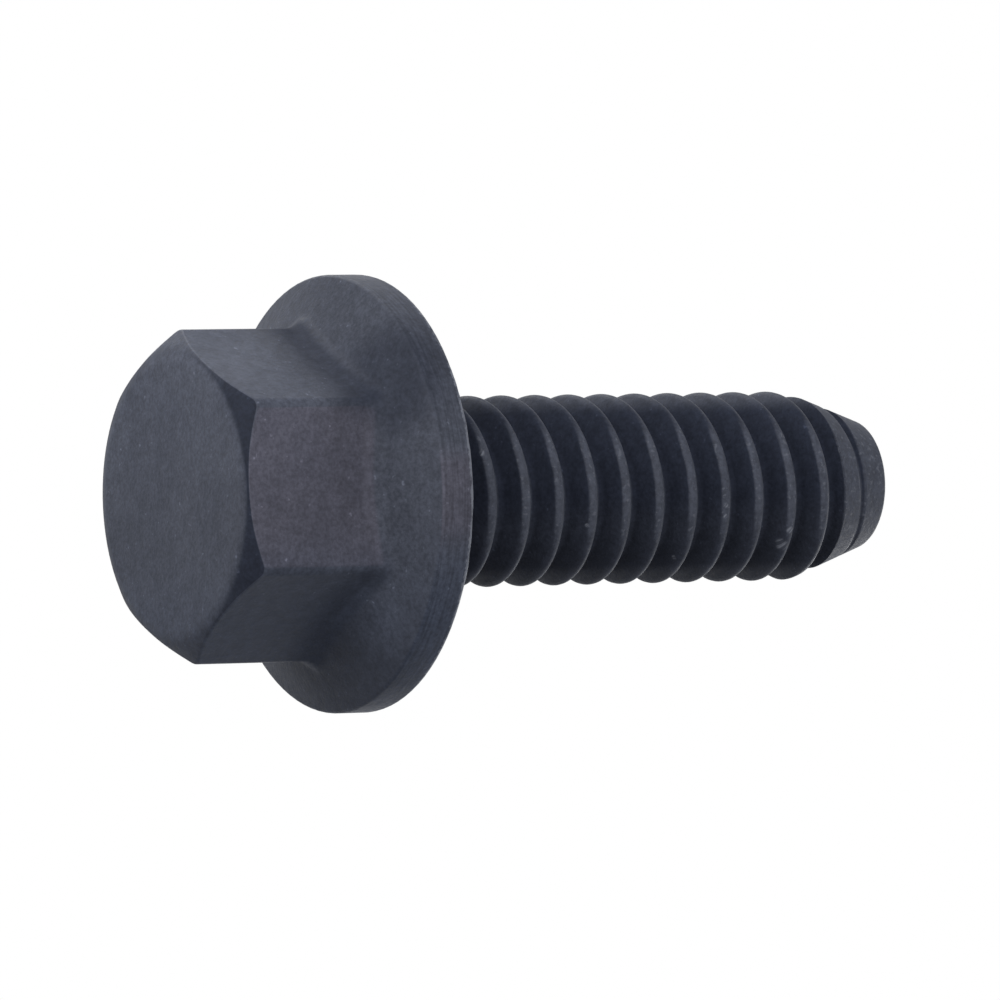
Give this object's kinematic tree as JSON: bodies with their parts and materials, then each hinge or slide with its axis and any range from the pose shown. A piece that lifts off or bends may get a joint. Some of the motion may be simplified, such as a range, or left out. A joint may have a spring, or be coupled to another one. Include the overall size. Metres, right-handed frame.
{
  "type": "flange bolt",
  "caption": "Fully threaded hexagon flange bolt with a chamfered head, a sloping forged washer flange and a tapered point, in black-oxide steel; clamps parts with its flange and drives with a socket.",
  "frame": {"origin": "centre of the bearing face under the flange, on the bolt's axis", "axes": "+Z along the bolt's axis towards the point, so the bolt stands on its head top; a flat of the hexagon faces -Y and its corners point along X"},
  "size_m": [0.0142, 0.0142, 0.0259],
  "materials": {
    "black_oxide_steel": "satin"
  },
  "bodies": {
    "root": {"flange_bolt": "black_oxide_steel"}
  },
  "joints": []
}
